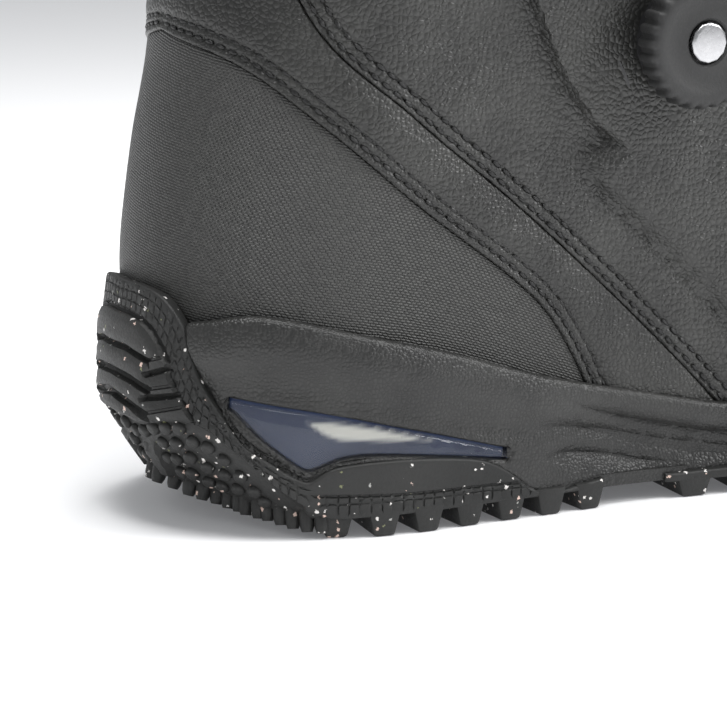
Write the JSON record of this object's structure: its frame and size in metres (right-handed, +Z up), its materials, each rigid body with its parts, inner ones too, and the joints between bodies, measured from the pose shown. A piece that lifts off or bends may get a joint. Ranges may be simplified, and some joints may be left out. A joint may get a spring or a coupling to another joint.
{
  "type": "snowboard boot",
  "caption": "Soft snowboard boot for the right foot: lugged rubber heel cup with a clear window, foam midsole, stitched panels, hinged cuff, lifting tongue and twin dial lacing.",
  "frame": {"origin": "on the ground at the middle of the sole's length, at the centre of a tread lug's flat bottom", "axes": "+X towards the toe, +Z up the leg, -Y towards the outer (lateral) side of a right boot"},
  "size_m": [0.3045, 0.1169, 0.3152],
  "materials": {
    "speckled_rubber": "matt moulded rubber with fine light specks",
    "orange_foam": "matt orange insert",
    "midsole_foam": "satin skin of moulded foam with a fine leather grain",
    "clear_window": "polished clear moulding with a faint blue tint",
    "gel_core": "dark blue gel",
    "composite": "glass-filled nylon",
    "woven_synthetic": "satin coated synthetic with a fine embossed weave",
    "pebbled_leather": "pebbled synthetic leather, lightly glossy",
    "toe_synthetic": "smooth abrasion-resistant synthetic",
    "board": "pressed fibre board",
    "liner_textile": "brushed lining textile over foam",
    "footbed_foam": "felted top over foam",
    "tongue_leather": "padded synthetic leather",
    "coated_lace": "nylon-coated steel cable",
    "guide_nylon": "satin moulded nylon",
    "dial_nylon": "satin moulded nylon",
    "dial_rubber": "soft-touch rubber grip",
    "screw_steel": "dark plated steel",
    "collar_textile": "padded knit textile",
    "webbing": "woven nylon webbing"
  },
  "bodies": {
    "foot": {"heel_outsole": "speckled_rubber", "heel_plug": "orange_foam", "forefoot_outsole": "speckled_rubber", "midsole": "midsole_foam", "heel_window_lateral": "clear_window", "heel_window_medial": "clear_window", "heel_gel_core": "gel_core", "shank": "composite", "heel_panel": "woven_synthetic", "heel_strap": "pebbled_leather", "quarter_lateral": "pebbled_leather", "quarter_medial": "pebbled_leather", "vamp": "pebbled_leather", "toe_cap": "toe_synthetic", "heel_counter": "composite", "toe_stiffener": "composite", "lasting_board": "board", "liner_foot": "liner_textile", "footbed": "footbed_foam", "tongue_lower": "tongue_leather", "lower_lace": "coated_lace", "lower_guide_medial_1": "guide_nylon", "lower_guide_medial_2": "guide_nylon", "lower_guide_lateral_1": "guide_nylon", "lower_guide_lateral_2": "guide_nylon", "lower_dial_base": "dial_nylon"},
    "lower_axle": {"lower_dial_axle": "screw_steel"},
    "lower_knob": {"lower_dial_knob": "dial_rubber"},
    "lower_spool": {"lower_dial_spool": "dial_nylon"},
    "cuff": {"cuff_spine": "woven_synthetic", "cuff_panel_lateral": "pebbled_leather", "cuff_panel_medial": "pebbled_leather", "cuff_collar": "collar_textile", "liner_cuff": "liner_textile", "rear_pull_loop": "webbing", "upper_guide_medial_1": "guide_nylon", "upper_guide_medial_2": "guide_nylon", "upper_guide_lateral_1": "guide_nylon", "upper_guide_lateral_2": "guide_nylon", "upper_dial_base": "dial_nylon", "upper_lace": "coated_lace"},
    "tongue": {"tongue_upper": "tongue_leather", "liner_tongue": "liner_textile", "tongue_pull_loop": "webbing"},
    "upper_axle": {"upper_dial_axle": "screw_steel"},
    "upper_knob": {"upper_dial_knob": "dial_rubber"},
    "upper_spool": {"upper_dial_spool": "dial_nylon"}
  },
  "joints": [
    {"name": "cuff_flex", "type": "hinge", "parent": "foot", "child": "cuff", "pos_m": [-0.0905, 0, 0.121], "axis": [0, 1, 0], "range_deg": [0, 12], "stiffness_Nm_per_rad": 20},
    {"name": "tongue_open", "type": "hinge", "parent": "cuff", "child": "tongue", "pos_m": [-0.0215, 0, 0.174], "axis": [0, 1, 0], "range_deg": [0, 22], "stiffness_Nm_per_rad": 1.5, "deforming": ["upper_lace"]},
    {"name": "lower_dial_pull", "type": "slide", "parent": "foot", "child": "lower_axle", "axis": [0.0167, -0.9982, -0.0571], "range_m": [0, 0.003]},
    {"name": "lower_dial_turn", "type": "hinge", "parent": "lower_axle", "child": "lower_knob", "pos_m": [-0.03034, -0.04972, 0.10669], "axis": [0.0167, -0.9982, -0.0571], "continuous": true},
    {"name": "lower_spool_turn", "type": "hinge", "parent": "foot", "child": "lower_spool", "pos_m": [-0.03034, -0.04972, 0.10669], "axis": [0.0167, -0.9982, -0.0571], "continuous": true},
    {"name": "upper_dial_pull", "type": "slide", "parent": "cuff", "child": "upper_axle", "axis": [-0.008, -0.9993, -0.0366], "range_m": [0, 0.003]},
    {"name": "upper_dial_turn", "type": "hinge", "parent": "upper_axle", "child": "upper_knob", "pos_m": [-0.07058, -0.05674, 0.25793], "axis": [-0.008, -0.9993, -0.0366], "continuous": true},
    {"name": "upper_spool_turn", "type": "hinge", "parent": "cuff", "child": "upper_spool", "pos_m": [-0.07058, -0.05674, 0.25793], "axis": [-0.008, -0.9993, -0.0366], "continuous": true}
  ],
  "couplings": [
    {"joint": "lower_spool_turn", "follows": "lower_dial_turn", "ratio": 1},
    {"joint": "upper_spool_turn", "follows": "upper_dial_turn", "ratio": 1}
  ]
}
